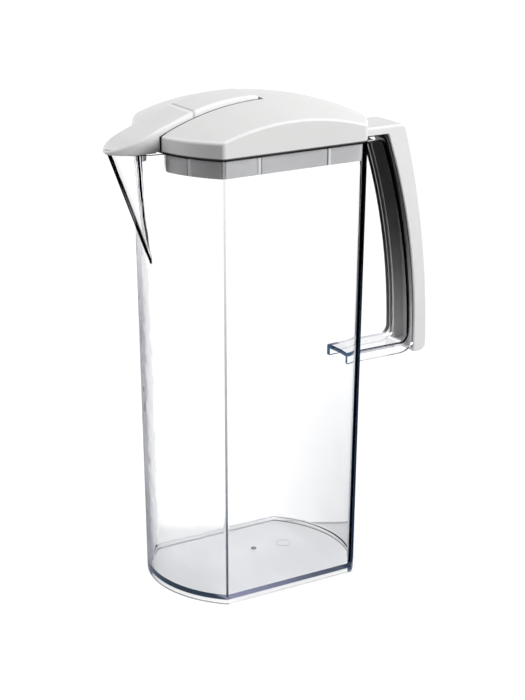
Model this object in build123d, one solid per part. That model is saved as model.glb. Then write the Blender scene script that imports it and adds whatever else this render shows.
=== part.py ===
"""Clear plastic pitcher of about two litres, with a lift-off lid.

The pitcher is a clear jug with a moulded handle channel, a white cover that
clips on the channel, a white lid over a grey insert that plugs the mouth, and
a white flap that rocks on two trunnions and closes the spout.

Lengths are millimetres. The origin is the centre of the base on the table,
+Z is up, +X points to the handle and -X to the spout.
"""
from build123d import *
from math import sqrt
import os

# Jug body: two flat sides joined by two bowed ends, growing towards the rim.
JUG_HEIGHT = 249.0
BASE_FLAT = 81.8
RIM_FLAT = 87.4
BASE_WIDTH = 85.4
RIM_WIDTH = 93.9
FRONT_BOW = 19.1
REAR_BOW = 17.6
WALL = 2.5
CORNER_RADIUS = 1.6
INNER_CORNER_RADIUS = 3.2
FLOOR = 2.5
FOOT_RECESS = 2.1
FLOOR_FILLET = 0.8

# Spout: a pointed-arch channel that leans out from the front bow.
SPOUT_REACH = 23.3
SPOUT_DROP = 61.0
SPOUT_WIDTH = 30.0
SPOUT_WALL = 2.2
SPOUT_LIP_RADIUS = 1.6
SPOUT_FILLET = 2.5

# Handle channel, moulded in one with the jug: a web that faces the fingers,
# with two flanges that point away from them.
CHANNEL_WIDTH = 22.0
CHANNEL_WALL = 2.5
CHANNEL_DEPTH = 6.5
CHANNEL_EDGE = 1.2
GRIP_DROP = 9.0
GRIP_OPENING = 120.5
GRIP_REACH = 38.0
GRIP_RADIUS = 342.0
GRIP_BELLY_RISE = 5.5
GRIP_CORNER = 5.0

# Handle cover: a white shell over the top arm and the grip.
COVER_WALL = 1.8
COVER_FIT = 0.15
COVER_SHOW = 4.0
COVER_SHOW_CORNER = 1.0
COVER_BACK_TOP = -5.7
COVER_BACK_MID = 7.0
COVER_BACK_BOTTOM = 12.6
COVER_MID_RISE = 78.0
COVER_END_DROP = 6.5
COVER_TOP_CORNER = 4.0
COVER_END_CORNER = 4.5
COVER_EDGE = 1.4
COVER_END_GAP = 0.3
CLIP_RIB = 1.5
CLIP_GRIP = 2.0

# Lid shell: domed both ways, with a well along its front half.
LID_LIFT = 1.0
LID_WALL = 2.0
LID_RISE = 22.0
LID_LONG_RADIUS = 148.0
LID_CROSS_RADIUS = 178.0
LID_EDGE = 1.2
WELL_WALL = 1.6
WELL_END = 0.4
WELL_FLOOR_DROP = 16.5
NOTCH_DEPTH = 6.5

# Lid insert: a plate that carries the shell, and a skirt in the mouth.
PLATE_STEP = 1.2
SKIRT_DEPTH = 9.6
SKIRT_WALL = 1.8
SKIRT_GAP = 0.6
SKIRT_CORNER = 3.0
COLLAR_HEIGHT = 4.0
COLLAR_WALL = 1.4
COLLAR_FIT = 0.2
RIB_WIDTH = 1.6
RIB_PROUD = 0.3
FLAT_RIB_PLACE = 21.5
BOW_RIB_PLACE = 28.7

# Spout flap: a rocker with a press pad behind its crease and a nose before it.
FLAP_WIDTH = 24.8
FLAP_WALL = 1.8
FLAP_SIDE_GAP = 0.6
FLAP_REAR = -2.4
FLAP_REAR_RISE = 1.6
FLAP_PAD_BULGE = 1.85
FLAP_CREASE = -43.0
FLAP_CREASE_RISE = 3.1
FLAP_NOSE_BULGE = 0.45
FLAP_NOSE_START = 16.3
FLAP_OVERHANG = 2.2
FLAP_NOSE_HEIGHT = 0.7
FLAP_SKIRT_GAP = 0.3
FLAP_PAD_DEPTH = 6.0
FLAP_EDGE = 1.2
FLAP_TIP_RADIUS = 2.5
LIP_WALL = 1.2
LIP_STEP = 0.9
LIP_GAP = 0.3

# Rocker pivot
PIVOT_X = -42.0
PIVOT_DROP = 5.3
TRUNNION_RADIUS = 1.8
TRUNNION_LENGTH = 1.6
TRUNNION_FIT = 0.08

# A cut runs past the faces that it opens by OVER. Things nearer than TOUCH are
# taken to touch, and an edge is level when it rises by less than this share.
OVER = 2.0
TOUCH = 0.02
LEVEL_RISE = 0.5

# Heights and places that follow from the sizes above.
FLOOR_TOP = FOOT_RECESS + FLOOR
LID_BASE = JUG_HEIGHT + LID_LIFT
CROWN = LID_BASE + LID_RISE
FRONT_END = -(RIM_FLAT / 2 + FRONT_BOW)
REAR_END = RIM_FLAT / 2 + REAR_BOW
SPOUT_TIP = FRONT_END - SPOUT_REACH
GRIP_TOP = JUG_HEIGHT - GRIP_DROP
GRIP_BOTTOM = GRIP_TOP - GRIP_OPENING
GRIP_BELLY = GRIP_BOTTOM + GRIP_BELLY_RISE
GRIP_FACE = REAR_END + GRIP_REACH
ARM_TOP = GRIP_TOP + CHANNEL_DEPTH
COVER_TOP = ARM_TOP + COVER_FIT + COVER_WALL
COVER_BOTTOM = GRIP_BOTTOM - COVER_END_DROP
COVER_MID_HEIGHT = COVER_BOTTOM + COVER_MID_RISE
COVER_WIDTH = CHANNEL_WIDTH + 2 * (COVER_FIT + COVER_WALL)
WELL_WIDTH = FLAP_WIDTH + 2 * FLAP_SIDE_GAP
WELL_FLOOR = CROWN - WELL_FLOOR_DROP
NOTCH_BACK = FRONT_END + NOTCH_DEPTH
FLAP_TIP = SPOUT_TIP - FLAP_OVERHANG


def dome_height(x):
    """Height of the lid's top surface on its centre line at x."""
    return CROWN - LID_LONG_RADIUS + sqrt(LID_LONG_RADIUS**2 - x**2)


PIVOT_Z = dome_height(PIVOT_X) - PIVOT_DROP


def bow_points(half_flat, half_width, bow, inset):
    """Corner and apex distances of a bowed end, moved inwards by inset."""
    radius = (half_width**2 + bow**2) / (2 * bow)
    centre = half_flat + bow - radius
    corner = centre + sqrt((radius - inset) ** 2 - (half_width - inset) ** 2)
    return corner, centre + radius - inset


def body_section(z, inset=0.0, corner=CORNER_RADIUS):
    """Face of the jug's plan outline at height z, moved inwards by inset."""
    share = z / JUG_HEIGHT
    half_flat = (BASE_FLAT + (RIM_FLAT - BASE_FLAT) * share) / 2
    half_width = (BASE_WIDTH + (RIM_WIDTH - BASE_WIDTH) * share) / 2
    front, front_apex = bow_points(half_flat, half_width, FRONT_BOW, inset)
    rear, rear_apex = bow_points(half_flat, half_width, REAR_BOW, inset)
    side = half_width - inset
    outline = [
        Line((-front, -side), (rear, -side)),
        ThreePointArc((rear, -side), (rear_apex, 0), (rear, side)),
        Line((rear, side), (-front, side)),
        ThreePointArc((-front, side), (-front_apex, 0), (-front, -side)),
    ]
    face = make_face(outline)
    return Pos(0, 0, z) * fillet(face.vertices(), corner)


def body_block(low, high, inset=0.0, corner=CORNER_RADIUS):
    """Solid that fills the jug's outline from one height to another."""
    return loft([body_section(low, inset, corner), body_section(high, inset, corner)], ruled=True)


def lid_block(inset, low, high):
    """Upright solid on the rim's outline, moved inwards by inset."""
    face = body_section(JUG_HEIGHT, inset, max(CORNER_RADIUS - inset, INNER_CORNER_RADIUS))
    return extrude(Pos(0, 0, low - JUG_HEIGHT) * face, high - low)


def arch_face(tip, join, half_width, inset=0.0, back=0.0):
    """Pointed arch in plan: two arcs that meet at the tip and run on to the back."""
    length = join - tip
    radius = (length**2 + half_width**2) / (2 * half_width)
    side = half_width - inset
    point = join - sqrt((radius - inset) ** 2 - (radius - half_width) ** 2)
    middle = (point + join) / 2
    bulge = half_width - radius + sqrt((radius - inset) ** 2 - (join - middle) ** 2)
    return make_face([
        ThreePointArc((join, -side), (middle, -bulge), (point, 0)),
        ThreePointArc((point, 0), (middle, bulge), (join, side)),
        Line((join, side), (back, side)),
        Line((back, side), (back, -side)),
        Line((back, -side), (join, -side)),
    ])


def spout_prism(inset, top, reach):
    """Leaning prism of the spout's arch, from above the rim down along its keel."""
    slope = SPOUT_REACH / SPOUT_DROP
    rise = top - JUG_HEIGHT
    join = FRONT_END + SPOUT_WALL
    arch = arch_face(SPOUT_TIP, join, SPOUT_WIDTH / 2, inset, join + WALL)
    tip = arch.vertices().sort_by(Axis.X)[0]
    arch = fillet(tip, SPOUT_LIP_RADIUS)
    arch = Pos(-slope * rise, 0, top) * arch
    keel = Vector(slope * (reach + rise), 0, -(reach + rise))
    return Solid.extrude(arch.face(), keel)


def grip_region(grow, corner):
    """XZ face of the finger opening, grown on all sides, with rounded corners."""
    radius = GRIP_RADIUS + grow
    centre = GRIP_FACE - GRIP_RADIUS
    bottom, top = GRIP_BOTTOM - grow, GRIP_TOP + grow

    def on_grip(z):
        return centre + sqrt(radius**2 - (z - GRIP_BELLY) ** 2), z

    with BuildSketch(Plane.XZ) as sketch:
        with BuildLine():
            ThreePointArc(on_grip(bottom), on_grip((bottom + top) / 2), on_grip(top))
            Polyline(on_grip(top), (0, top), (0, bottom), on_grip(bottom))
        make_face()
        fillet(sketch.vertices().sort_by(Axis.X)[-2:], corner)
    return sketch.sketch


def channel_region(grow):
    """XZ face of the finger opening, grown with the channel's own corners."""
    return grip_region(grow, GRIP_CORNER + grow)


def touching(solid, edge):
    """True where an edge starts, ends or runs on a solid."""
    return solid.distance_to(edge) < TOUCH


def on_sides(edge, half_width):
    """True where an edge lies on one of the planes |y| = half_width."""
    return abs(abs(edge.center().Y) - half_width) < TOUCH


def across(region, half_width, centre=0.0):
    """Solid from an XZ region, half_width to each side of y = centre."""
    return extrude(Pos(0, centre, 0) * region, half_width, both=True)


def block(x_span, half_width, z_span):
    """Box between two x and two z values, half_width to each side of y = 0."""
    low, high = x_span
    bottom, top = z_span
    middle = Pos((low + high) / 2, 0, (bottom + top) / 2)
    return middle * Box(high - low, 2 * half_width, top - bottom)


def handle_channel():
    """C-shaped channel with its web towards the fingers and its edges rounded."""
    half = CHANNEL_WIDTH / 2
    opening = across(channel_region(0.0), half + OVER)
    channel = across(channel_region(CHANNEL_DEPTH), half) - opening
    web_edges = [
        edge
        for edge in channel.edges()
        if on_sides(edge, half) and touching(opening, edge)
    ]
    channel = fillet(web_edges, CHANNEL_EDGE)
    trough = across(channel_region(CHANNEL_DEPTH + OVER), half - CHANNEL_WALL)
    trough -= across(channel_region(CHANNEL_WALL), half)
    return channel - trough


def make_jug():
    """Clear body with its floor, spout and handle channel."""
    body = body_block(0, JUG_HEIGHT) + spout_prism(0.0, JUG_HEIGHT, SPOUT_DROP + WALL)
    seam = [
        edge
        for edge in body.edges()
        if FRONT_END - WALL < edge.center().X < NOTCH_BACK
        and JUG_HEIGHT - SPOUT_DROP - WALL < edge.center().Z < JUG_HEIGHT - TOUCH
        and abs(edge.center().Y) < SPOUT_WIDTH / 2
    ]
    body = fillet(seam, SPOUT_FILLET)
    hollow = body_block(FLOOR_TOP, JUG_HEIGHT + OVER, WALL, INNER_CORNER_RADIUS)
    hollow = fillet(hollow.edges().group_by(Axis.Z)[0], FLOOR_FILLET)
    recess = body_block(-OVER, FOOT_RECESS, WALL, INNER_CORNER_RADIUS)
    throat = spout_prism(SPOUT_WALL, JUG_HEIGHT + OVER, SPOUT_DROP + 2 * WALL)
    return body + handle_channel() - hollow - recess - throat


def cover_outline(inset=0.0):
    """XZ outline of the cover's outside, moved inwards by inset."""
    back_top = GRIP_FACE + COVER_BACK_TOP
    back_bottom = GRIP_FACE + COVER_BACK_BOTTOM
    with BuildSketch(Plane.XZ) as sketch:
        with BuildLine():
            Line((0, COVER_TOP), (back_top, COVER_TOP))
            ThreePointArc(
                (back_top, COVER_TOP),
                (GRIP_FACE + COVER_BACK_MID, COVER_MID_HEIGHT),
                (back_bottom, COVER_BOTTOM),
            )
            Line((back_bottom, COVER_BOTTOM), (0, COVER_BOTTOM))
            Line((0, COVER_BOTTOM), (0, COVER_TOP))
        make_face()
        corners = sketch.vertices().sort_by(Axis.X)[-2:].sort_by(Axis.Y)
        fillet(corners[0], COVER_END_CORNER)
        fillet(sketch.vertices().group_by(Axis.Y)[-1].sort_by(Axis.X)[-1], COVER_TOP_CORNER)
        if inset:
            offset(amount=-inset, kind=Kind.ARC)
    return sketch.sketch


def make_handle_cover():
    """White shell over the channel, with long ribs that grip its flanges."""
    half = COVER_WIDTH / 2
    finger_side = across(grip_region(COVER_SHOW, COVER_SHOW_CORNER), half + OVER)
    finger_side += block((0, GRIP_FACE + COVER_SHOW), half + OVER, (0, GRIP_BELLY))
    cover = across(cover_outline(), half) - finger_side
    back_edges = [
        edge
        for edge in cover.edges()
        if on_sides(edge, half) and not touching(finger_side, edge)
    ]
    cover = fillet(back_edges, COVER_EDGE)
    cover -= across(cover_outline(COVER_WALL), CHANNEL_WIDTH / 2 + COVER_FIT)
    rib_plan = cover_outline(COVER_WALL / 2) - channel_region(CHANNEL_DEPTH - CLIP_GRIP)
    rib_centre = CHANNEL_WIDTH / 2 - CHANNEL_WALL - COVER_FIT - CLIP_RIB / 2
    for side in (-1, 1):
        cover += across(rib_plan, CLIP_RIB / 2, side * rib_centre) - finger_side
    return cover - body_block(GRIP_BOTTOM, LID_BASE + OVER, -COVER_END_GAP)


def dome(inset):
    """Solid under the lid's top surface, lowered by inset.

    A crosswise arc is turned about a crosswise axis below the crown.
    """
    axis_height = CROWN - LID_LONG_RADIUS
    half = RIM_WIDTH / 2 + OVER
    top = LID_LONG_RADIUS - inset
    shoulder = top - LID_CROSS_RADIUS + sqrt(LID_CROSS_RADIUS**2 - half**2)
    with BuildPart() as part:
        with BuildSketch(Plane.YZ):
            with BuildLine():
                ThreePointArc((-half, shoulder), (0, top), (half, shoulder))
                Polyline((half, shoulder), (half, 0), (-half, 0), (-half, shoulder))
            make_face()
        revolve(axis=Axis.Y)
    return Pos(0, 0, axis_height) * part.part


def make_lid_shell():
    """White domed shell with the flap's well and the holes for its trunnions."""
    outside = lid_block(0.0, LID_BASE, CROWN + OVER) & dome(0.0)
    top_edges = [
        edge
        for edge in outside.edges()
        if edge.center().Z > WELL_FLOOR and abs(edge.tangent_at(0.5).Z) < LEVEL_RISE
    ]
    shell = fillet(top_edges, LID_EDGE) - (
        lid_block(LID_WALL, LID_BASE - OVER, CROWN) & dome(LID_WALL)
    )
    half = WELL_WIDTH / 2
    wall_half = half + WELL_WALL
    end = WELL_END + WELL_WALL
    walls = block((NOTCH_BACK, end), wall_half, (WELL_FLOOR - WELL_WALL, CROWN))
    walls += block((FRONT_END, NOTCH_BACK + WELL_WALL), wall_half, (LID_BASE, CROWN))
    shell += walls & lid_block(WELL_WALL / 2, LID_BASE, CROWN) & dome(WELL_WALL / 2)
    shell -= block((SPOUT_TIP, WELL_END), half, (WELL_FLOOR, CROWN + OVER))
    shell -= block((SPOUT_TIP, NOTCH_BACK), half, (LID_BASE - OVER, CROWN))
    hole = Cylinder(TRUNNION_RADIUS + TRUNNION_FIT, 2 * (wall_half + OVER), rotation=(90, 0, 0))
    return shell - Pos(PIVOT_X, 0, PIVOT_Z) * hole


def ring_block(low, high, outer_inset, thickness):
    """Upright band that follows the jug's taper."""
    inner = outer_inset + thickness
    band = body_block(low, high, outer_inset, INNER_CORNER_RADIUS)
    return band - body_block(low - OVER, high + OVER, inner, INNER_CORNER_RADIUS)


def make_lid_insert():
    """Grey plug: a plate on the rim, a ribbed skirt below and a collar above."""
    low = JUG_HEIGHT - SKIRT_DEPTH
    gap_half = FLAP_WIDTH / 2
    skirt = ring_block(low, JUG_HEIGHT, WALL + SKIRT_GAP, SKIRT_WALL)
    skirt -= block((FRONT_END, 0), gap_half, (low - OVER, JUG_HEIGHT + OVER))
    ends = [
        edge
        for edge in skirt.edges()
        if abs(edge.center().Z - low) < TOUCH and on_sides(edge, gap_half)
    ]
    skirt = fillet(ends, SKIRT_CORNER)
    proud = ring_block(low + RIB_PROUD, JUG_HEIGHT, WALL + SKIRT_GAP - RIB_PROUD, 2 * RIB_PROUD)
    for place in (-FLAT_RIB_PLACE, FLAT_RIB_PLACE):
        sides = (place - RIB_WIDTH / 2, place + RIB_WIDTH / 2)
        skirt += proud & block(sides, RIM_WIDTH, (low, JUG_HEIGHT))
    for place in (-BOW_RIB_PLACE, BOW_RIB_PLACE):
        slab = block((FRONT_END, REAR_END), RIB_WIDTH / 2, (low, JUG_HEIGHT))
        skirt += proud & Pos(0, place, 0) * slab
    plate = lid_block(PLATE_STEP, JUG_HEIGHT, LID_BASE)
    outer = LID_WALL + COLLAR_FIT
    top = LID_BASE + COLLAR_HEIGHT
    collar = lid_block(outer, LID_BASE, top) - lid_block(outer + COLLAR_WALL, LID_BASE, top)
    well_half = WELL_WIDTH / 2 + WELL_WALL + COLLAR_FIT
    collar -= block((FRONT_END, 0), well_half, (LID_BASE, top))
    return plate + skirt + collar


def flap_profile(drop, rear, bottom):
    """XZ face under the flap's top line, lowered by drop."""
    rear_top = CROWN + FLAP_REAR_RISE - drop
    crease_top = dome_height(FLAP_CREASE) + FLAP_CREASE_RISE - drop
    tip_top = LID_BASE + FLAP_NOSE_HEIGHT - drop
    pad_middle = (rear + FLAP_CREASE) / 2, (rear_top + crease_top) / 2 + FLAP_PAD_BULGE
    nose_middle = (FLAP_TIP + FLAP_CREASE) / 2, (tip_top + crease_top) / 2 + FLAP_NOSE_BULGE
    with BuildSketch(Plane.XZ) as sketch:
        with BuildLine():
            ThreePointArc((rear, rear_top), pad_middle, (FLAP_CREASE, crease_top))
            ThreePointArc((FLAP_CREASE, crease_top), nose_middle, (FLAP_TIP, tip_top))
            Polyline((FLAP_TIP, tip_top), *bottom, (rear, rear_top))
        make_face()
    return sketch.sketch


def flap_plan(inset):
    """Plan of the flap: straight sides and a pointed nose."""
    nose = arch_face(FLAP_TIP, FLAP_TIP + FLAP_NOSE_START, FLAP_WIDTH / 2, inset, FLAP_REAR - inset)
    tip = nose.vertices().sort_by(Axis.X)[0]
    return fillet(tip, FLAP_TIP_RADIUS)


def flap_column(inset):
    """Upright solid on the flap's plan."""
    height = CROWN + OVER - JUG_HEIGHT + OVER
    return extrude(Pos(0, 0, JUG_HEIGHT - OVER) * flap_plan(inset), height + OVER)


def make_spout_flap():
    """White rocker: a hollow pad and nose on two moulded trunnions."""
    half = FLAP_WIDTH / 2
    low = LID_BASE + FLAP_SKIRT_GAP
    deep = JUG_HEIGHT - OVER
    skirt_back = NOTCH_BACK - FLAP_SIDE_GAP
    boss_low = PIVOT_Z - TRUNNION_RADIUS
    underside = [
        (FLAP_TIP, low),
        (skirt_back, low),
        (skirt_back, boss_low),
        (PIVOT_X, boss_low),
        (FLAP_REAR, CROWN + FLAP_REAR_RISE - FLAP_PAD_DEPTH),
    ]
    outside = across(flap_profile(0.0, FLAP_REAR, underside), half) & flap_column(0.0)
    rim = [
        edge
        for face in outside.faces()
        if face.normal_at().Z > LEVEL_RISE
        for edge in face.edges()
        if abs(edge.center().X - FLAP_CREASE) > TOUCH
    ]
    flap = fillet(rim, FLAP_EDGE)
    rear = FLAP_REAR - FLAP_WALL
    floor_line = [(FLAP_TIP, deep), (rear, deep)]
    flap -= across(flap_profile(FLAP_WALL, rear, floor_line), half) & flap_column(FLAP_WALL)
    lip_low = JUG_HEIGHT + LIP_GAP
    lip = flap_plan(LIP_STEP) - flap_plan(LIP_STEP + LIP_WALL)
    lip = extrude(Pos(0, 0, lip_low) * lip, low + FLAP_WALL - lip_low)
    flap += lip & block((FLAP_TIP, FRONT_END - FLAP_SIDE_GAP), half, (lip_low, CROWN))
    reach = WELL_WIDTH / 2 + TRUNNION_LENGTH - TRUNNION_FIT
    for side in (-1, 1):
        length = reach - half + FLAP_WALL
        pin = Cylinder(TRUNNION_RADIUS, length, rotation=(90, 0, 0))
        flap += Pos(PIVOT_X, side * (reach - length / 2), PIVOT_Z) * pin
    return flap


PARTS = {
    "jug": make_jug,
    "handle_cover": make_handle_cover,
    "lid_shell": make_lid_shell,
    "lid_insert": make_lid_insert,
    "spout_flap": make_spout_flap,
}


def main():
    """Write one STEP file for each piece."""
    os.makedirs("parts", exist_ok=True)
    for name, make in PARTS.items():
        export_step(make(), f"parts/{name}.step")


if __name__ == "__main__":
    main()
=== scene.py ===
"""Looks of a clear pitcher, laid out as a Blender add-on and run as a script.

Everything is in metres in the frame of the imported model: the origin is the
centre of the base, +Z is up, +X points to the handle and -X to the spout.
"""
import math
from types import SimpleNamespace

import bpy
import numpy as np
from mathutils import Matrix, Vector


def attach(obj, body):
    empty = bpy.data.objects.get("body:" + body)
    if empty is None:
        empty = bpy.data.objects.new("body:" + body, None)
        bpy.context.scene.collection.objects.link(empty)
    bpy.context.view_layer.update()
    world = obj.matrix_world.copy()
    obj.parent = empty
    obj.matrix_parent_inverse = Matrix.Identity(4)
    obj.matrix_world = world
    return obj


bl_info = {
    "name": "Clear Pitcher",
    "version": (1, 0, 0),
    "blender": (4, 5, 0),
    "location": "3D View > Sidebar > Pitcher",
    "description": "Finishes for a clear pitcher with a white lid and handle cover",
    "category": "Object",
}

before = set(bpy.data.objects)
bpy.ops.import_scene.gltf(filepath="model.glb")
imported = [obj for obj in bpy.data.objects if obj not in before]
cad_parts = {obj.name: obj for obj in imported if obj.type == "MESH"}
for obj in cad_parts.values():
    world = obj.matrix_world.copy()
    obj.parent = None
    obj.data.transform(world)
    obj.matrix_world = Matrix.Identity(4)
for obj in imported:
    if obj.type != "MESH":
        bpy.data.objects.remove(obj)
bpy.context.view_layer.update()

MM = 0.001

# The jug's outline: flat sides and bowed ends, growing towards the rim.
JUG_HEIGHT = 249 * MM
BASE_FLAT = 81.8 * MM
RIM_FLAT = 87.4 * MM
BASE_WIDTH = 85.4 * MM
RIM_WIDTH = 93.9 * MM
FRONT_BOW = 19.1 * MM
REAR_BOW = 17.6 * MM
FLOOR_TOP = 4.6 * MM
FLOOR_UNDERSIDE = 2.1 * MM
REAR_END = RIM_FLAT / 2 + REAR_BOW

# The handle cover's back is an arc through three points, as (x, z).
COVER_TOP = 248.45 * MM
COVER_BOTTOM = 113.0 * MM
COVER_BACK = (
    (REAR_END + 32.3 * MM, COVER_TOP),
    (REAR_END + 45.0 * MM, COVER_BOTTOM + 78.0 * MM),
    (REAR_END + 50.6 * MM, COVER_BOTTOM),
)
COVER_WALL = 1.8 * MM
COVER_HALF = 12.95 * MM
COVER_INSIDE = COVER_HALF - COVER_WALL
CHANNEL_HALF = 11.0 * MM

# The lid: its dome, the flap's well and the flap's crease.
LID_BASE = 250 * MM
CROWN = 272 * MM
LID_LONG_RADIUS = 148 * MM
LID_CROSS_RADIUS = 178 * MM
WELL_HALF = 13.0 * MM
WELL_END = 0.4 * MM
FLAP_HALF = 12.4 * MM
FLAP_CREASE = -43.0 * MM
NOTCH_FRONT = -61.9 * MM
HOOD_HEIGHT = 8 * MM
HOOD_FADE = (-86 * MM, -62 * MM)

# The insert's ribs.
FLAT_RIB_PLACE = 21.5 * MM
BOW_RIB_PLACE = 28.7 * MM
RIB_HALF = 0.8 * MM
SKIRT_TOP = 249 * MM
SKIRT_CORNER = (42.3 * MM, 43.8 * MM)

# Rings moulded under the floor: name, place, thickness and colour. A ring's
# middle lies RING_DEPTH thicknesses below the floor's underside.
MARKS = (
    ("gate_mark", (6.7 * MM, 9.1 * MM), 0.35 * MM, (0.16, 0.165, 0.18)),
    ("ejector_mark", (25 * MM, 6 * MM), 0.12 * MM, (0.55, 0.56, 0.58)),
)
RING_TURNS, RING_SIDES = 48, 10
RING_DEPTH = 1.1

# Where the zones of the jug fade into each other, from one place to another.
BEYOND_ENDS_FADE = (-0.9 * MM, -0.3 * MM)
FLAT_SIDE_FADE = (37 * MM, 40.5 * MM)
CORNER_FADE = (0.55 * MM, 0.85 * MM)
CORNER_FOOT_FADE = (3 * MM, 5 * MM)
FLOOR_FADE = (FLOOR_TOP + 0.2 * MM, FLOOR_TOP + 0.8 * MM)
FOOT_FADE = (FLOOR_UNDERSIDE - 0.3 * MM, FLOOR_UNDERSIDE - 0.1 * MM)
ARM_FADE = (121 * MM, 124 * MM)
ROOT_FADE = (64 * MM, 70 * MM)
FLANGE_RIM_FADE = (CHANNEL_HALF - 1.6 * MM, CHANNEL_HALF - 1.0 * MM)
SIDE_EDGE_FADE = (-45 * MM, 45 * MM)
FAR_EDGE_FADE = (-5 * MM, 5 * MM)
# Painted shade low on the bowed ends fades in across these.
REAR_SHADE_FADE = (38 * MM, 48 * MM)
FAR_SHADE_FADE = (-20 * MM, 60 * MM)
FRONT_SHADE_FADE = (-50 * MM, -38 * MM)

# How far a painted highlight reaches in from the edges of the white pieces.
BRIM_FADE = (0.9 * MM, 1.3 * MM)

# Where painted shade darkens the lid: the groove's front end, and outwards on
# the front bow.
GROOVE_FRONT_FADE = (-60 * MM, -57 * MM)
SHELL_BOW_FADE = (12 * MM, 46 * MM)
INSERT_BOW_FADE = (12 * MM, 44 * MM)

# How pale the painted reflections on the mirrored edges are, from 0 for deep
# to 1 for pale. The web and the flanges of the handle have a first value at
# the top and a gain below it.
WALL_PALE = 0.49
RIM_PALE_GAIN = 0.45
BASE_PALE_LOSS = 0.10
BASE_PALE = 0.38
SPOUT_PALE = 0.35
WEB_PALE, WEB_PALE_GAIN = 0.12, 0.40
FLANGE_PALE, FLANGE_PALE_GAIN = 0.60, 0.30
ARM_PALE = 0.80

# Share of light that plain plastic of index 1.49 mirrors head on.
HEAD_ON = 0.04

BLACK = (0.0, 0.0, 0.0)
WHITE = (1.0, 1.0, 1.0)
SHADOW_TINT = (0.93, 0.94, 0.95)
# Painted shade inside the handle cover, from its top to its bottom.
COVER_SHADE_DARK, COVER_SHADE_PALE = (0.07, 0.07, 0.07), (0.58, 0.57, 0.56)
# Painted highlight on the insert's ribs.
RIB_HIGHLIGHT = (0.9, 0.9, 0.9)


class Value:
    """A shader value: Python arithmetic on it adds Math nodes."""

    def __init__(self, nodes, socket):
        self.nodes = nodes
        self.socket = socket

    def calc(self, operation, *others):
        """Math node of that operation on this value and the others."""
        return self.nodes.math(operation, self, *others)

    def __add__(self, other):
        return self.calc("ADD", other)

    def __sub__(self, other):
        return self.calc("SUBTRACT", other)

    def __mul__(self, other):
        return self.calc("MULTIPLY", other)

    def __truediv__(self, other):
        return self.calc("DIVIDE", other)

    def __rsub__(self, other):
        return self.nodes.math("SUBTRACT", other, self)

    __radd__ = __add__
    __rmul__ = __mul__

    def __abs__(self):
        return self.calc("ABSOLUTE")

    def most(self, other):
        """The larger of this value and another."""
        return self.calc("MAXIMUM", other)

    def least(self, other):
        """The smaller of this value and another."""
        return self.calc("MINIMUM", other)

    def hypot(self, other):
        """Length of the vector with this value and the other as its sides."""
        return (self * self + other * other).calc("SQRT")

    def ramp(self, low, high):
        """0 below low, 1 above high, and a smooth step between them."""
        made = self.nodes.add(
            "ShaderNodeMapRange",
            {"interpolation_type": "SMOOTHSTEP"},
            {"Value": self, "From Min": low, "From Max": high},
        )
        return Value(self.nodes, made.outputs["Result"])

    def fall(self, low, high):
        """1 below low, 0 above high, and a smooth step between them."""
        return 1 - self.ramp(low, high)

    def near(self, centre, width, soft):
        """1 within width of centre, falling to 0 over soft."""
        return abs(self - centre).fall(width, width + soft)


class Nodes:
    """A material's node tree, built up by method calls."""

    def __init__(self, name):
        self.material = bpy.data.materials.new(name)
        self.material.use_nodes = True
        self.tree = self.material.node_tree
        self.tree.nodes.clear()
        self.output = self.add("ShaderNodeOutputMaterial")
        self.place = self.add("ShaderNodeTexCoord").outputs["Object"]
        split = self.add("ShaderNodeSeparateXYZ", {}, {"Vector": self.place})
        self.x, self.y, self.z = (Value(self, split.outputs[axis]) for axis in "XYZ")

    def add(self, kind, settings=None, inputs=None):
        """A node of that type, its settings set first and its sockets after."""
        node = self.tree.nodes.new(kind)
        for name, value in (settings or {}).items():
            setattr(node, name, value)
        for name, value in (inputs or {}).items():
            self.feed(node.inputs[name], value)
        return node

    def feed(self, socket, value):
        """Links a socket to a value, or sets it to a number or a colour."""
        if isinstance(value, Value):
            value = value.socket
        if isinstance(value, bpy.types.NodeSocket):
            self.tree.links.new(value, socket)
        elif socket.type == "RGBA":
            socket.default_value = (*value[:3], 1.0)
        else:
            socket.default_value = value

    def math(self, operation, *values):
        """Math node of that operation on values and numbers."""
        node = self.add("ShaderNodeMath", {"operation": operation})
        for socket, value in zip(node.inputs, values):
            self.feed(socket, value)
        return Value(self, node.outputs[0])

    def mix(self, share, first, second):
        """Colour that goes from first to second as share goes from 0 to 1."""
        node = self.add("ShaderNodeMix", {"data_type": "RGBA"})
        colours = [socket for socket in node.inputs if socket.type == "RGBA"]
        self.feed(node.inputs["Factor"], share)
        for socket, value in zip(colours, (first, second)):
            self.feed(socket, value)
        return next(socket for socket in node.outputs if socket.type == "RGBA")

    def noise(self, scale, detail=2.0, stretch=(1.0, 1.0, 1.0)):
        """Noise from 0 to 1 on Object coordinates, in features per metre."""
        mapped = self.add(
            "ShaderNodeMapping", {}, {"Vector": self.place, "Scale": stretch}
        )
        node = self.add(
            "ShaderNodeTexNoise",
            {},
            {"Vector": mapped.outputs[0], "Scale": scale, "Detail": detail},
        )
        return Value(self, node.outputs["Fac"])

    def bump(self, height, distance):
        """Normal of a surface raised by height times distance."""
        node = self.add(
            "ShaderNodeBump", {}, {"Height": height, "Distance": distance}
        )
        return node.outputs["Normal"]

    def shader(self, kind, **inputs):
        """Output of a shader node with those sockets set."""
        named = {key.replace("_", " "): value for key, value in inputs.items()}
        return self.add(kind, {}, named).outputs[0]

    def blend(self, share, first, second):
        """Shader that goes from first to second as share goes from 0 to 1."""
        node = self.add("ShaderNodeMixShader", {}, {"Fac": share})
        self.feed(node.inputs[1], first)
        self.feed(node.inputs[2], second)
        return node.outputs[0]

    def ray(self, *kinds):
        """1 for a light ray of any of those kinds and 0 for the others."""
        path = self.add("ShaderNodeLightPath")
        share = Value(self, path.outputs[kinds[0]])
        for kind in kinds[1:]:
            share = share.most(Value(self, path.outputs[kind]))
        return share

    def finish(self, shader):
        """The material, with that shader on its surface."""
        self.feed(self.output.inputs["Surface"], shader)
        return self.material


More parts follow.
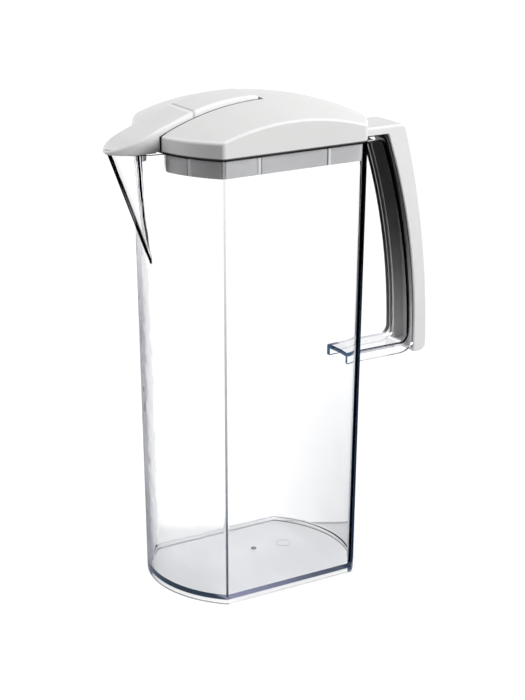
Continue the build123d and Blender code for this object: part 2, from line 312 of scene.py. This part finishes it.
SEEN_RAYS = ("Is Camera Ray", "Is Glossy Ray", "Is Transmission Ray")


class ClearLook(bpy.types.PropertyGroup):
    """Finish of the clear moulding."""

    index: bpy.props.FloatProperty(
        name="Index",
        description="Index of refraction of the clear plastic",
        default=1.49,
    )
    tint: bpy.props.FloatVectorProperty(
        name="Tint",
        description="Colour that the walls let through",
        subtype="COLOR",
        size=3,
        default=(0.999, 0.999, 1.0),
    )
    floor_tint: bpy.props.FloatVectorProperty(
        name="Floor tint",
        description="Colour that the thicker floor lets through",
        subtype="COLOR",
        size=3,
        default=(0.965, 0.967, 0.972),
    )
    # Painted shade: the walls let this darker tint through low on the bowed ends.
    low_shade_tint: bpy.props.FloatVectorProperty(
        name="Haze tint",
        description="Colour that the walls let through low on the bowed ends",
        subtype="COLOR",
        size=3,
        default=(0.86, 0.865, 0.875),
    )
    # The three edge tints colour the clear plastic's mirror: painted reflections, dark
    # as of an unlit room low down and near the rim, and pale elsewhere.
    deep: bpy.props.FloatVectorProperty(
        name="Deep edge",
        description="Colour of the dark edges below, which mirror an unlit room",
        subtype="COLOR",
        size=3,
        default=(0.02, 0.035, 0.065),
    )
    black: bpy.props.FloatVectorProperty(
        name="Black edge",
        description="Colour of the dark edges near the rim",
        subtype="COLOR",
        size=3,
        default=(0.016, 0.016, 0.017),
    )
    pale: bpy.props.FloatVectorProperty(
        name="Pale edge",
        description="Colour of the palest edges",
        subtype="COLOR",
        size=3,
        default=(0.95, 0.95, 0.98),
    )
    # The floor-edge tints and the handle-root tint below are painted reflections, held
    # inside the plastic in place of the mirror.
    end_edge: bpy.props.FloatVectorProperty(
        name="Floor edge at the ends",
        description="Colour in the floor's edge along the bowed ends",
        subtype="COLOR",
        size=3,
        default=(0.05, 0.07, 0.10),
    )
    side_edge: bpy.props.FloatVectorProperty(
        name="Floor edge at the sides",
        description="Colour in the floor's edge along the flat sides",
        subtype="COLOR",
        size=3,
        default=(0.34, 0.345, 0.47),
    )
    far_edge: bpy.props.FloatVectorProperty(
        name="Far floor edge",
        description="Colour in the floor's edge on the +Y side",
        subtype="COLOR",
        size=3,
        default=(0.62, 0.63, 0.68),
    )
    root: bpy.props.FloatVectorProperty(
        name="Handle root",
        description="Colour in the plastic where the lower arm meets the wall",
        subtype="COLOR",
        size=3,
        default=(0.10, 0.15, 0.24),
    )


class MarkSizes(bpy.types.PropertyGroup):
    """Radii of the rings moulded under the floor, each named as its piece."""

    gate_mark: bpy.props.FloatProperty(
        name="Gate mark",
        description="Radius of the small ring near the middle of the floor",
        subtype="DISTANCE",
        unit="LENGTH",
        default=1.25 * MM,
    )
    ejector_mark: bpy.props.FloatProperty(
        name="Ejector mark",
        description="Radius of the faint ring towards the handle",
        subtype="DISTANCE",
        unit="LENGTH",
        default=4.2 * MM,
    )


class WhiteLook(bpy.types.PropertyGroup):
    """Finish of the white and grey pieces."""

    white: bpy.props.FloatVectorProperty(
        name="White",
        description="Colour of the lid, the flap and the handle cover",
        subtype="COLOR",
        size=3,
        default=(0.81, 0.81, 0.805),
    )
    grey: bpy.props.FloatVectorProperty(
        name="Grey",
        description="Colour of the lid's insert",
        subtype="COLOR",
        size=3,
        default=(0.33, 0.33, 0.335),
    )
    # Painted highlight along the rounded edges of the white pieces.
    brim_highlight: bpy.props.FloatVectorProperty(
        name="Brim",
        description="Colour of the polished rounded edges",
        subtype="COLOR",
        size=3,
        default=(0.95, 0.95, 0.95),
    )
    # Painted shade in the gaps between pieces and on shaded faces.
    gap: bpy.props.FloatVectorProperty(
        name="Gap",
        description="Colour deep in the gaps between pieces",
        subtype="COLOR",
        size=3,
        default=(0.012, 0.012, 0.013),
    )
    roughness: bpy.props.FloatProperty(
        name="Roughness",
        description="Roughness of the satin surface",
        subtype="FACTOR",
        default=0.34,
    )


class StageLook(bpy.types.PropertyGroup):
    """Light and floor."""

    key: bpy.props.FloatProperty(
        name="Key light",
        description="Strength of the main soft light",
        default=3.95,
    )
    room: bpy.props.FloatProperty(
        name="Room light",
        description="Strength of the even light from all round",
        default=0.13,
    )
    floor: bpy.props.FloatProperty(
        name="Floor",
        description="How much light the pale floor gives back",
        subtype="FACTOR",
        default=0.45,
    )
    # Painted shade under and around the base, on the table top seen through the clear
    # plastic.
    table: bpy.props.FloatProperty(
        name="Table",
        description="How much greyer the table is through the clear plastic",
        subtype="FACTOR",
        default=0.18,
    )
    glow: bpy.props.FloatProperty(
        name="Floor white",
        description="White that the seen floor has beyond its own colour",
        default=0.65,
    )


def dress(node, material):
    """Gives a CAD node one material."""
    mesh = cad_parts[node].data
    mesh.materials.clear()
    mesh.materials.append(material)


def plan_depths(n, half_flat, half_width):
    """How deep a point lies below the sides and ends of the plan outline.

    The plan has flat sides at |y| = w and ends that are arcs of radius
    R = (w^2 + b^2) / 2b about |x| = h + b - R, with bow b, half-width w and
    half-flat h.
    """
    rear = n.x.ramp(-1 * MM, 1 * MM)
    bow = rear * (REAR_BOW - FRONT_BOW) + FRONT_BOW
    radius = (bow * bow + half_width * half_width) / (bow * 2)
    reach = (abs(n.x) - (bow + half_flat - radius)).hypot(n.y)
    return SimpleNamespace(
        rear=rear,
        ends=radius - reach,
        sides=half_width - abs(n.y),
        corner=(abs(n.x) - half_flat).hypot(abs(n.y) - half_width),
    )


def jug_zones(n):
    """Where on the jug a point lies, each from 0 to 1."""
    height = n.z / JUG_HEIGHT
    half_flat = (height * (RIM_FLAT - BASE_FLAT) + BASE_FLAT) / 2
    half_width = (height * (RIM_WIDTH - BASE_WIDTH) + BASE_WIDTH) / 2
    plan = plan_depths(n, half_flat, half_width)
    beyond = plan.ends.fall(*BEYOND_ENDS_FADE)
    channel = beyond * plan.rear
    return SimpleNamespace(
        height=height,
        rear=plan.rear,
        spout=beyond * (1 - plan.rear),
        channel=channel,
        flat_side=abs(n.x).fall(*FLAT_SIDE_FADE),
        corner=plan.corner.fall(*CORNER_FADE) * n.z.ramp(*CORNER_FOOT_FADE),
        base=n.z.fall(*FLOOR_FADE),
        foot=n.z.fall(*FOOT_FADE),
        root=n.z.fall(*ARM_FADE) * n.x.fall(*ROOT_FADE) * channel,
    )


def edge_paleness(n, zone):
    """How pale the painted reflections on the mirrored edges are, from 0 to 1.

    They are deep at the rear, the base and the spout, and paler towards the
    rim of the front bow and on the handle, whose lower arm is palest.
    """
    front = zone.height.ramp(0.55, 0.95) * RIM_PALE_GAIN
    front = front - zone.height.fall(0.12, 0.28) * BASE_PALE_LOSS
    walls = (1 - zone.rear) * (front + WALL_PALE)
    pale = walls * (1 - zone.base) + zone.base * BASE_PALE
    spout = zone.height.fall(0.75, 0.95) * SPOUT_PALE
    pale = pale * (1 - zone.spout) + zone.spout * spout
    rims = abs(n.y).ramp(*FLANGE_RIM_FADE)
    low = zone.height.fall(0.48, 0.95)
    web = low * WEB_PALE_GAIN + WEB_PALE
    flange = low * FLANGE_PALE_GAIN + FLANGE_PALE
    channel = web * (1 - rims) + rims * flange
    arm = n.z.fall(*ARM_FADE)
    channel = channel * (1 - arm) + arm * ARM_PALE
    return pale * (1 - zone.channel) + channel * zone.channel


def bending(n, look, tint):
    """Shader that bends light through smooth plastic of that tint."""
    return n.shader(
        "ShaderNodeBsdfRefraction", Color=tint, Roughness=0.0, IOR=look.index
    )


def mirroring(n, tint):
    """Shader of a smooth mirror of that tint."""
    return n.shader("ShaderNodeBsdfAnisotropic", Color=tint, Roughness=0.0)


def caught_light(n, look, zone, cloud):
    """Shader of painted reflections that the floor's edge and the handle's root hold.

    The floor's edge is dark along the bowed ends. Along the flat sides it is
    paler, and palest on the side away from the photograph's viewer.
    """
    side = n.mix(n.x.ramp(*SIDE_EDGE_FADE) * 0.8, look.side_edge, look.end_edge)
    side = n.mix(n.y.ramp(*FAR_EDGE_FADE), side, look.far_edge)
    caught = n.mix(zone.flat_side * (cloud * 0.5 + 0.75), look.end_edge, side)
    return n.shader(
        "ShaderNodeBsdfPrincipled",
        Base_Color=n.mix(zone.root, caught, look.root),
        Roughness=0.6,
        Specular_IOR_Level=0.0,
    )


def bent_light(n, look, zone, cloud):
    """Shader of what shows through: painted shade low on the bows, streaky in the
    floor.
    """
    # Painted shade low on the rear bow, fading out towards +Y, and fainter low on the
    # front bow.
    rear = zone.rear * zone.height.fall(0.05, 0.6) * n.x.ramp(*REAR_SHADE_FADE)
    rear = rear * n.y.fall(*FAR_SHADE_FADE)
    front = n.x.fall(*FRONT_SHADE_FADE) * zone.height.fall(0.04, 0.24) * 0.3
    streak = n.noise(70.0, 4.0, (1.0, 0.5, 1.0)).ramp(0.35, 0.65)
    walls = n.blend(
        rear.most(front) * (cloud * 0.4 + 0.8) * (1 - zone.base),
        bending(n, look, look.tint),
        bending(n, look, look.low_shade_tint),
    )
    return n.blend(
        zone.base * (1 - zone.foot) * (streak * 0.4 + 0.6),
        walls,
        bending(n, look, look.floor_tint),
    )


def clear_material(look):
    """Clear plastic: it bends light, and mirrors more the flatter it is met.

    The mirrored share is Fresnel's, less its value head on, and softer on the
    rear bow. The mirror is a mix of a deep and a pale tint, which paint dark and
    pale reflections by place, so that edges read as lines on white. The upright
    corners get a painted deep reflection from every side.
    """
    n = Nodes("clear_plastic")
    zone = jug_zones(n)
    cloud = n.noise(45.0, 3.0)
    fresnel = Value(n, n.add("ShaderNodeFresnel", {}, {"IOR": look.index}).outputs[0])
    gloss = ((fresnel - 1.5 * HEAD_ON) / (1 - 1.5 * HEAD_ON)).most(0.0)
    bow = zone.rear * (1 - zone.channel) * (1 - zone.base)
    gloss = gloss * (1 - bow) + fresnel.ramp(0.15, 0.80) * bow
    inner = Value(n, n.add("ShaderNodeNewGeometry").outputs["Backfacing"])
    # Painted dark reflection along the upright corners, fainter towards the rim.
    line = zone.corner * (1 - inner) * (0.96 - zone.height * 0.56)
    # Painted dark reflections: the deep tint low down, the black one near the rim.
    deep = n.blend(
        zone.height.ramp(0.55, 0.80), mirroring(n, look.deep), mirroring(n, look.black)
    )
    mirror = n.blend(
        edge_paleness(n, zone) * (1 - line), deep, mirroring(n, look.pale)
    )
    # Painted reflections: inside the floor's edge and the handle's root, a lit colour
    # takes the mirror's place.
    mirror = n.blend(
        zone.base.most(zone.root) * inner, mirror, caught_light(n, look, zone, cloud)
    )
    glass = n.blend(gloss.most(line), bent_light(n, look, zone, cloud), mirror)
    through = n.shader("ShaderNodeBsdfTransparent", Color=SHADOW_TINT)
    return n.finish(n.blend(n.ray("Is Shadow Ray"), glass, through))


def satin(n, look, colour):
    """Shader of satin moulded plastic with a fine grain under its colour."""
    cloud = n.noise(60.0, 3.0)
    grain = n.noise(2500.0, 2.0)
    shade = n.mix(cloud * 0.05, colour, BLACK)
    return n.shader(
        "ShaderNodeBsdfPrincipled",
        Base_Color=shade,
        Roughness=(cloud - 0.5) * 0.08 + look.roughness,
        Specular_IOR_Level=0.18,
        Normal=n.bump(grain, 0.02 * MM),
    )


def cover_material(look):
    """White outside, with painted highlights on its rounded edges and painted light
    that grows towards the top; inside, painted shade, darker towards the top.
    """
    n = Nodes("handle_white")
    centre_x, centre_z, radius = circle_through(*COVER_BACK)
    depth = radius - (n.x - centre_x).hypot(n.z - centre_z)
    within = depth.ramp(0.4 * COVER_WALL, 0.6 * COVER_WALL)
    within = within * abs(n.y).fall(COVER_INSIDE + 0.2 * MM, COVER_INSIDE + 0.5 * MM)
    within = within * n.z.fall(COVER_TOP - COVER_WALL, COVER_TOP - COVER_WALL / 2)
    within = within * n.z.ramp(COVER_BOTTOM + COVER_WALL / 2, COVER_BOTTOM + COVER_WALL)
    # Painted shade inside the cover, darker towards the top.
    low = n.z.fall(COVER_BOTTOM, COVER_TOP)
    inside = n.mix(low * low * low, COVER_SHADE_DARK, COVER_SHADE_PALE)
    # Painted highlight along the cover's rounded edges.
    brim_highlight = depth.least(COVER_TOP - n.z).fall(*BRIM_FADE)
    brim_highlight = brim_highlight * (COVER_HALF - abs(n.y)).fall(*BRIM_FADE)
    # Painted light: the outside grows paler towards the top, below its top face.
    sides = n.z.fall(COVER_TOP - 1.5 * MM, COVER_TOP - 0.5 * MM)
    outside = n.mix(brim_highlight.most((1 - low) * sides * 0.6), look.white, look.brim_highlight)
    return n.finish(satin(n, look, n.mix(within, outside, inside)))


def dome_top(n):
    """Height of the lid's top over a point.

    A crosswise arc of radius C is turned about a crosswise axis, so the top
    is sqrt((L - C + sqrt(C^2 - y^2))^2 - x^2) above that axis.
    """
    arc = (LID_CROSS_RADIUS**2 - n.y * n.y).calc("SQRT")
    spoke = arc + (LID_LONG_RADIUS - LID_CROSS_RADIUS)
    return (spoke * spoke - n.x * n.x).calc("SQRT") + (CROWN - LID_LONG_RADIUS)


def shell_material(look):
    """White lid with a painted highlight on its rounded edges, and painted shade in
    a groove along the flap and in a seam.

    The painted shade in the groove is blackest at the front, and painted shade
    darkens the front bow outwards.
    """
    n = Nodes("lid_white")
    plan = plan_depths(n, RIM_FLAT / 2, RIM_WIDTH / 2)
    below = dome_top(n) - n.z
    # Painted highlight along the lid's rounded edges.
    brim_highlight = plan.ends.least(plan.sides).fall(*BRIM_FADE)
    brim_highlight = brim_highlight * below.fall(0.7 * MM, 1.1 * MM)
    colour = n.mix(brim_highlight, look.white, look.brim_highlight)
    # Painted shade in the groove beside the flap, blackest at the front.
    front = n.x.fall(*GROOVE_FRONT_FADE)
    beside = abs(n.y) - front * 0.45 * MM
    groove = beside.fall(WELL_HALF + 0.1 * MM, WELL_HALF + 0.3 * MM)
    groove = groove * n.x.fall(WELL_END + 0.1 * MM, WELL_END + 0.3 * MM)
    # Painted shade along the seam over the insert.
    seam = n.z.fall(LID_BASE + 0.3 * MM, LID_BASE + 0.6 * MM)
    # Painted shade on the front bow, darker outwards.
    bow = n.x.fall(-RIM_FLAT / 2 - 1 * MM, -RIM_FLAT / 2) * below.ramp(0.8 * MM, 2 * MM)
    colour = n.mix(bow * abs(n.y).ramp(*SHELL_BOW_FADE) * 0.32, colour, look.gap)
    dark = (groove * (front * 0.35 + 0.62)).most(seam * 0.85)
    return n.finish(satin(n, look, n.mix(dark, colour, look.gap)))


def flap_material(look):
    """White flap, with a painted highlight along its sides and its crease.

    A line of painted shade lies behind the crease. Painted shade darkens the sides
    where they go down into the well, and the hood under the nose.
    """
    n = Nodes("flap_white")
    # Painted highlight along the crease, and painted shade in a line behind it.
    light = n.x.near(FLAP_CREASE, 0.5 * MM, 0.4 * MM)
    shade = n.x.near(FLAP_CREASE + 1.6 * MM, 0.4 * MM, 0.7 * MM)
    # Painted highlight along the flap's sides.
    brim_highlight = abs(n.y).ramp(FLAP_HALF - 1.4 * MM, FLAP_HALF - 1.0 * MM)
    brim_highlight = brim_highlight * n.x.ramp(-73 * MM, -60 * MM)
    colour = n.mix(light.most(brim_highlight), look.white, look.brim_highlight)
    colour = n.mix(shade * 0.30, colour, look.gap)
    # Painted shade on the sides where they go down into the well, and on the hood under
    # the nose.
    below = (n.z - dome_top(n)).fall(-0.2 * MM, 0.2 * MM)
    side = abs(n.y).ramp(FLAP_HALF - 0.3 * MM, FLAP_HALF - 0.1 * MM)
    sunk = below * side * n.x.ramp(NOTCH_FRONT - 0.2 * MM, NOTCH_FRONT)
    hood = n.z.fall(LID_BASE, LID_BASE + HOOD_HEIGHT) * n.x.ramp(*HOOD_FADE)
    return n.finish(satin(n, look, n.mix(sunk.most(hood * 0.75), colour, look.gap)))


def insert_material(look):
    """Grey insert: a painted highlight on each rib, with a line of painted shade
    beside it.

    Painted shade darkens its front corners and front bow, and its plate is painted
    black as a shaded edge between the lid and the rim.
    """
    n = Nodes("insert_grey")
    on_flat = abs(n.x).fall(34 * MM, 36 * MM)
    across = abs(n.x) * on_flat + abs(n.y) * (1 - on_flat)
    place = on_flat * (FLAT_RIB_PLACE - BOW_RIB_PLACE) + BOW_RIB_PLACE
    # Painted highlight on each rib, and painted shade in a line beside it.
    rib = (across - place).near(0.0, RIB_HALF, 0.2 * MM)
    beside = (across - place + 1.5 * RIB_HALF).near(0.0, 0.3 * MM, 0.2 * MM)
    below = n.z.fall(SKIRT_TOP - 0.6 * MM, SKIRT_TOP - 0.4 * MM)
    colour = n.mix(rib * below * 0.22, look.grey, RIB_HIGHLIGHT)
    colour = n.mix(beside * below * 0.6, colour, look.gap)
    # Painted shade at the front corners and outwards on the front bow.
    corner = (abs(n.x) - SKIRT_CORNER[0]).hypot(abs(n.y) - SKIRT_CORNER[1])
    corner = corner.fall(0.7 * MM, 1.1 * MM) * n.x.fall(-1 * MM, 1 * MM)
    colour = n.mix(corner * below * 0.7, colour, look.gap)
    bow = n.x.fall(-RIM_FLAT / 2 + 0.5 * MM, -RIM_FLAT / 2 + 1 * MM)
    colour = n.mix(bow * abs(n.y).ramp(*INSERT_BOW_FADE) * 0.50, colour, look.gap)
    # Painted shade: the plate's edge between the lid and the rim is painted black.
    plate = n.z.near((SKIRT_TOP + LID_BASE) / 2, 0.9 * MM, 0.3 * MM)
    return n.finish(satin(n, look, n.mix(plate, colour, look.gap)))


def mark_material(name, colour):
    """Frosted plastic of a small moulded mark."""
    n = Nodes(name)
    cloud = n.noise(900.0, 2.0)
    shade = n.mix(cloud * 0.3, colour, BLACK)
    frosted = n.shader("ShaderNodeBsdfPrincipled", Base_Color=shade, Roughness=0.6)
    return n.finish(frosted)


def circle_through(first, second, third):
    """Centre and radius of the circle through three points (x, z).

    The centre c is as far from each point p, so 2 c (p2 - p1) = p2^2 - p1^2.
    """
    points = np.array([first, second, third])
    squares = (points**2).sum(axis=1)
    centre = np.linalg.solve(2 * np.diff(points, axis=0), np.diff(squares))
    return (*centre.tolist(), math.dist(centre, first))


def link_piece(name, vertices, faces, material):
    """A mesh object of that name, with its faces smooth."""
    mesh = bpy.data.meshes.new(name)
    mesh.from_pydata(vertices.tolist(), [], faces)
    mesh.polygons.foreach_set("use_smooth", np.ones(len(mesh.polygons), dtype=bool))
    mesh.materials.append(material)
    piece = bpy.data.objects.new(name, mesh)
    bpy.context.scene.collection.objects.link(piece)
    return piece


def moulded_ring(name, centre, radius, tube, material):
    """Thin ring under the jug's floor: a circle of radius a carried round one
    of radius R, so x = (R + a cos t) cos u, y = (R + a cos t) sin u, z = a sin t.
    """
    u, t = np.meshgrid(
        np.linspace(0.0, 2 * np.pi, RING_TURNS, endpoint=False),
        np.linspace(0.0, 2 * np.pi, RING_SIDES, endpoint=False),
        indexing="ij",
    )
    reach = radius + tube * np.cos(t)
    points = np.stack(
        [reach * np.cos(u), reach * np.sin(u), tube * np.sin(t)], axis=-1
    )
    vertices = points.reshape(-1, 3) + np.array(centre)
    index = np.arange(RING_TURNS * RING_SIDES).reshape(RING_TURNS, RING_SIDES)
    onward = np.roll(index, -1, axis=0)
    faces = np.stack(
        [index, onward, np.roll(onward, -1, axis=1), np.roll(index, -1, axis=1)],
        axis=-1,
    )
    piece = link_piece(name, vertices, faces.reshape(-1, 4).tolist(), material)
    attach(piece, "jug")


class PITCHER_OT_jug(bpy.types.Operator):
    """Clear body with its spout and handle channel"""

    bl_idname = "pitcher.jug"
    bl_label = "Clear jug"

    def execute(self, context):
        dress("jug", clear_material(context.scene.pitcher_clear))
        for name, place, tube, colour in MARKS:
            centre = (*place, FLOOR_UNDERSIDE - RING_DEPTH * tube)
            radius = getattr(context.scene.pitcher_marks, name)
            moulded_ring(name, centre, radius, tube, mark_material(name, colour))
        return {"FINISHED"}


class PITCHER_OT_cover(bpy.types.Operator):
    """White handle cover"""

    bl_idname = "pitcher.cover"
    bl_label = "Handle cover"

    def execute(self, context):
        dress("handle_cover", cover_material(context.scene.pitcher_white))
        return {"FINISHED"}


class PITCHER_OT_lid(bpy.types.Operator):
    """White lid shell with its grey insert"""

    bl_idname = "pitcher.lid"
    bl_label = "Lid"

    def execute(self, context):
        dress("lid_shell", shell_material(context.scene.pitcher_white))
        dress("lid_insert", insert_material(context.scene.pitcher_white))
        return {"FINISHED"}


class PITCHER_OT_flap(bpy.types.Operator):
    """White flap over the spout"""

    bl_idname = "pitcher.flap"
    bl_label = "Spout flap"

    def execute(self, context):
        dress("spout_flap", flap_material(context.scene.pitcher_white))
        return {"FINISHED"}


class PITCHER_OT_stage(bpy.types.Operator):
    """Floor, world, lamps and camera"""

    bl_idname = "pitcher.stage"
    bl_label = "Stage"

    def execute(self, context):
        look = context.scene.pitcher_stage
        make_floor(look)
        make_world(context.scene, look)
        make_lamps(look)
        make_camera(context.scene)
        return {"FINISHED"}


# The photograph's camera: its place in metres, its angles in degrees and its
# lens and sensor width in millimetres.
CAMERA_PLACE = (-0.52166, -0.86334, 0.46182)
CAMERA_AZIMUTH = -31.52
CAMERA_ELEVATION = 18.30
LENS = 98.09
SENSOR = 36.0

# Half the floor's width, and the table top that shows through the plastic, greyed
# by painted shade. Its rim and its brink, the line at its far edge, get as much
# more painted shade as they say.
FLOOR_REACH = 30.0
TABLE_EDGE = 57.5 * MM
TABLE_SIDE = 70 * MM
TABLE_SIDE_FADE = 10 * MM
TABLE_SOFT = 0.25 * TABLE_EDGE
RIM_BAND, RIM_GREY = 9 * MM, 0.08
BRINK_INSET, BRINK_HALF, BRINK_FADE, BRINK_GREY = 0.8 * MM, 1.2 * MM, 1 * MM, 0.28


def make_floor(look):
    """Wide pale floor that reads as white where it is fully lit.

    Through the clear plastic it shows a table top greyed by painted shade, with
    straight edges at |x sin a + y cos a| = TABLE_EDGE, across the camera's view,
    and at |x cos a - y sin a| = TABLE_SIDE. Its edges are softer towards the left.
    """
    n = Nodes("floor")
    grey = (look.floor,) * 3
    turn = math.radians(-CAMERA_AZIMUTH)
    beyond = n.x * math.sin(turn) + n.y * math.cos(turn)
    along = abs(beyond)
    across = n.x * math.cos(turn) - n.y * math.sin(turn)
    soft = across.fall(-30 * MM, 30 * MM) * TABLE_SOFT + 1 * MM
    table = along.fall(TABLE_EDGE - soft, TABLE_EDGE + 1 * MM)
    table = table * abs(across).fall(TABLE_SIDE - TABLE_SIDE_FADE, TABLE_SIDE)
    # Painted shade: a greyer band along the table's edge, and a painted shadow line at
    # its far brink.
    rim = along.ramp(TABLE_EDGE - RIM_BAND, TABLE_EDGE) * RIM_GREY
    brink = beyond.near(TABLE_EDGE - BRINK_INSET, BRINK_HALF, BRINK_FADE)
    brink = brink * across.ramp(0.0, 40 * MM) * BRINK_GREY
    shade = table * (rim + brink + look.table) * n.ray("Is Transmission Ray")
    matte = n.shader("ShaderNodeBsdfDiffuse", Color=grey)
    shaded = n.shader("ShaderNodeBsdfDiffuse", Color=n.mix(shade, grey, BLACK))
    white = n.mix(shade, WHITE, BLACK)
    glow = n.shader("ShaderNodeEmission", Color=white, Strength=look.glow)
    seen = n.add("ShaderNodeAddShader")
    n.feed(seen.inputs[0], shaded)
    n.feed(seen.inputs[1], glow)
    material = n.finish(n.blend(n.ray(*SEEN_RAYS), matte, seen.outputs[0]))
    corners = np.array([(-1, -1, 0), (1, -1, 0), (1, 1, 0), (-1, 1, 0)]) * FLOOR_REACH
    floor = link_piece("floor", corners, [(0, 1, 2, 3)], material)


def make_world(scene, look):
    """Even room light, which the camera, mirrors and clear plastic see as white."""
    world = bpy.data.worlds.new("studio")
    world.use_nodes = True
    tree = world.node_tree
    tree.nodes.clear()
    output = tree.nodes.new("ShaderNodeOutputWorld")
    path = tree.nodes.new("ShaderNodeLightPath")
    seen = path.outputs[SEEN_RAYS[0]]
    for kind in SEEN_RAYS[1:]:
        top = tree.nodes.new("ShaderNodeMath")
        top.operation = "MAXIMUM"
        tree.links.new(seen, top.inputs[0])
        tree.links.new(path.outputs[kind], top.inputs[1])
        seen = top.outputs[0]
    mix = tree.nodes.new("ShaderNodeMixShader")
    tree.links.new(seen, mix.inputs[0])
    for socket, strength in ((mix.inputs[1], look.room), (mix.inputs[2], 1.0)):
        light = tree.nodes.new("ShaderNodeBackground")
        light.inputs["Color"].default_value = (*WHITE, 1.0)
        light.inputs["Strength"].default_value = strength
        tree.links.new(light.outputs[0], socket)
    tree.links.new(mix.outputs[0], output.inputs["Surface"])
    scene.world = world
    scene.view_settings.view_transform = "Standard"


def direction(azimuth, elevation):
    """Unit vector from the object to a viewer or lamp; azimuth 0 is -Y."""
    a, e = math.radians(azimuth), math.radians(elevation)
    return Vector((math.sin(a) * math.cos(e), -math.cos(a) * math.cos(e), math.sin(e)))


# Each lamp's azimuth, elevation, and strength as a share of the key light.
LAMPS = {
    "key": (43.0, 5.0, 1.0),
    "overhead": (0.0, 85.0, 0.37),
    "spout_side": (-130.0, 20.0, 0.35),
}
LAMP_SPREAD = math.radians(60.0)


def make_lamps(look):
    """Wide soft suns, so that no shadow has a sharp edge."""
    for name, (azimuth, elevation, share) in LAMPS.items():
        data = bpy.data.lights.new(name, "SUN")
        data.energy = look.key * share
        data.angle = LAMP_SPREAD
        lamp = bpy.data.objects.new(name, data)
        lamp.rotation_mode = "QUATERNION"
        lamp.rotation_quaternion = direction(azimuth, elevation).to_track_quat("Z", "Y")
        bpy.context.scene.collection.objects.link(lamp)


def make_camera(scene):
    """Camera at the photograph's angle and distance."""
    data = bpy.data.cameras.new("camera")
    data.lens = LENS
    data.sensor_width = SENSOR
    camera = bpy.data.objects.new("camera", data)
    ahead = -direction(CAMERA_AZIMUTH, CAMERA_ELEVATION)
    camera.location = CAMERA_PLACE
    camera.rotation_mode = "QUATERNION"
    camera.rotation_quaternion = ahead.to_track_quat("-Z", "Y")
    scene.collection.objects.link(camera)
    scene.camera = camera


LOOKS = {
    "pitcher_clear": ClearLook,
    "pitcher_marks": MarkSizes,
    "pitcher_white": WhiteLook,
    "pitcher_stage": StageLook,
}
OPERATORS = (
    PITCHER_OT_jug,
    PITCHER_OT_cover,
    PITCHER_OT_lid,
    PITCHER_OT_flap,
    PITCHER_OT_stage,
)


class PITCHER_PT_panel(bpy.types.Panel):
    """Finishes and pieces of the pitcher"""

    bl_label = "Pitcher"
    bl_space_type = "VIEW_3D"
    bl_region_type = "UI"
    bl_category = "Pitcher"

    def draw(self, context):
        for group, look in LOOKS.items():
            for name in look.__annotations__:
                self.layout.prop(getattr(context.scene, group), name)
        for operator in OPERATORS:
            self.layout.operator(operator.bl_idname)


CLASSES = (*LOOKS.values(), *OPERATORS, PITCHER_PT_panel)


def register():
    """Adds the classes to Blender and the looks to its scenes."""
    for cls in CLASSES:
        bpy.utils.register_class(cls)
    for name, look in LOOKS.items():
        setattr(bpy.types.Scene, name, bpy.props.PointerProperty(type=look))


def unregister():
    """Takes the looks and the classes away again."""
    for name in LOOKS:
        delattr(bpy.types.Scene, name)
    for cls in reversed(CLASSES):
        bpy.utils.unregister_class(cls)


def main():
    """Registers the add-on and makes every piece."""
    register()
    for operator in OPERATORS:
        group, name = operator.bl_idname.split(".")
        getattr(getattr(bpy.ops, group), name)()


if __name__ == "__main__":
    main()
